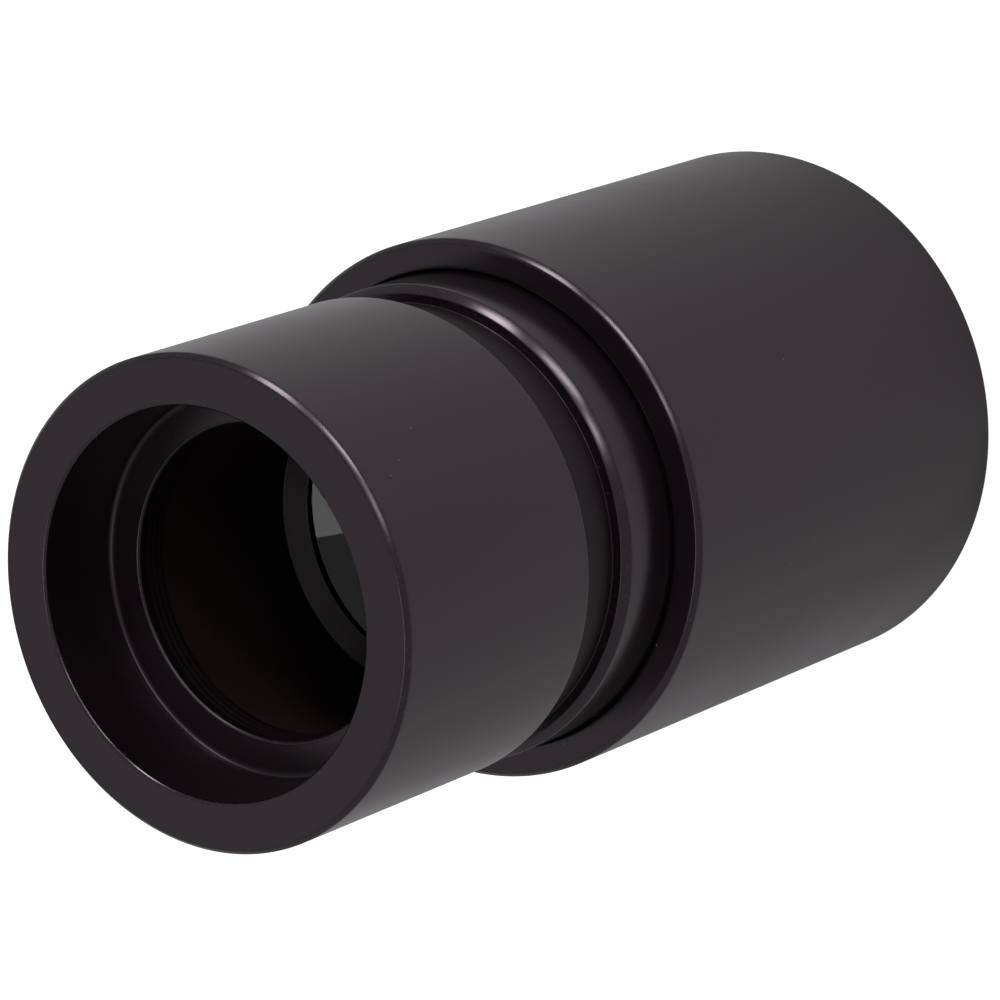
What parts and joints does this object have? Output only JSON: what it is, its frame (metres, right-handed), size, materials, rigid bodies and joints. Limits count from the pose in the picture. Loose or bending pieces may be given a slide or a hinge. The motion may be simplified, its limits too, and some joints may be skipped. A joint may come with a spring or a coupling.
{
  "type": "barlow lens",
  "caption": "Short black Barlow lens: a stepped turned barrel with a nosepiece that has a safety undercut, a negative doublet in a cell, and a socket for the eyepiece.",
  "frame": {"origin": "centre of the eyepiece rim, on the optical axis, at the lowest plane of the part", "axes": "+Z is the optical axis, from the eyepiece rim towards the front of the nosepiece; the part is round about Z, so X and Y are free"},
  "size_m": [0.036, 0.036, 0.0642],
  "materials": {
    "holder_anodised": "glossy black anodised",
    "nose_anodised": "glossy black anodised",
    "matt_black": "matt black anodised",
    "grip_rubber": "satin",
    "shim_black": "matt",
    "crown_glass": "polished, coated",
    "flint_glass": "polished, coated"
  },
  "bodies": {
    "holder": {"eyepiece_holder": "holder_anodised", "grip_ring": "grip_rubber"},
    "lens": {"front_element": "crown_glass", "rear_element": "flint_glass", "lens_shim": "shim_black"},
    "nose": {"nosepiece": "nose_anodised", "lens_cell": "matt_black", "retaining_ring": "matt_black"}
  },
  "joints": [
    {"name": "nose_advance", "type": "slide", "parent": "holder", "child": "lens", "axis": [0, 0, 1], "range_m": [0, 0.0045]},
    {"name": "nose_screw", "type": "hinge", "parent": "lens", "child": "nose", "pos_m": [0, 0, 0.036], "axis": [0, 0, 1], "range_deg": [0, 2160]}
  ],
  "couplings": [
    {"joint": "nose_advance", "follows": "nose_screw", "m_per_rad": 0.00011937}
  ]
}
